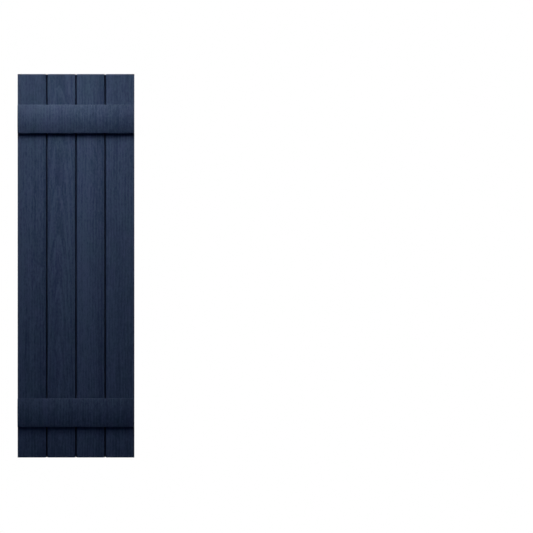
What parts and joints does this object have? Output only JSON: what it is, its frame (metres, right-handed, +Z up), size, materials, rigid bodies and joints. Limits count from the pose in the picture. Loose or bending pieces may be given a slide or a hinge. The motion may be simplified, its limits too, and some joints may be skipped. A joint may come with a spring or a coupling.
{
  "type": "board and batten shutter",
  "caption": "Fixed exterior window shutter of upright boards joined edge to edge by two crowned battens, flat at the back to lie against a wall.",
  "frame": {"origin": "middle of the back, on the plane that lies against the wall", "axes": "+Z up along the boards, +Y out of the back towards the wall, +X to the right seen from the front"},
  "size_m": [0.546, 0.039, 1.795],
  "materials": {
    "boards": "satin",
    "battens": "satin"
  },
  "bodies": {
    "root": {"board_1": "boards", "board_2": "boards", "board_3": "boards", "board_4": "boards", "top_batten": "battens", "bottom_batten": "battens"}
  },
  "joints": []
}
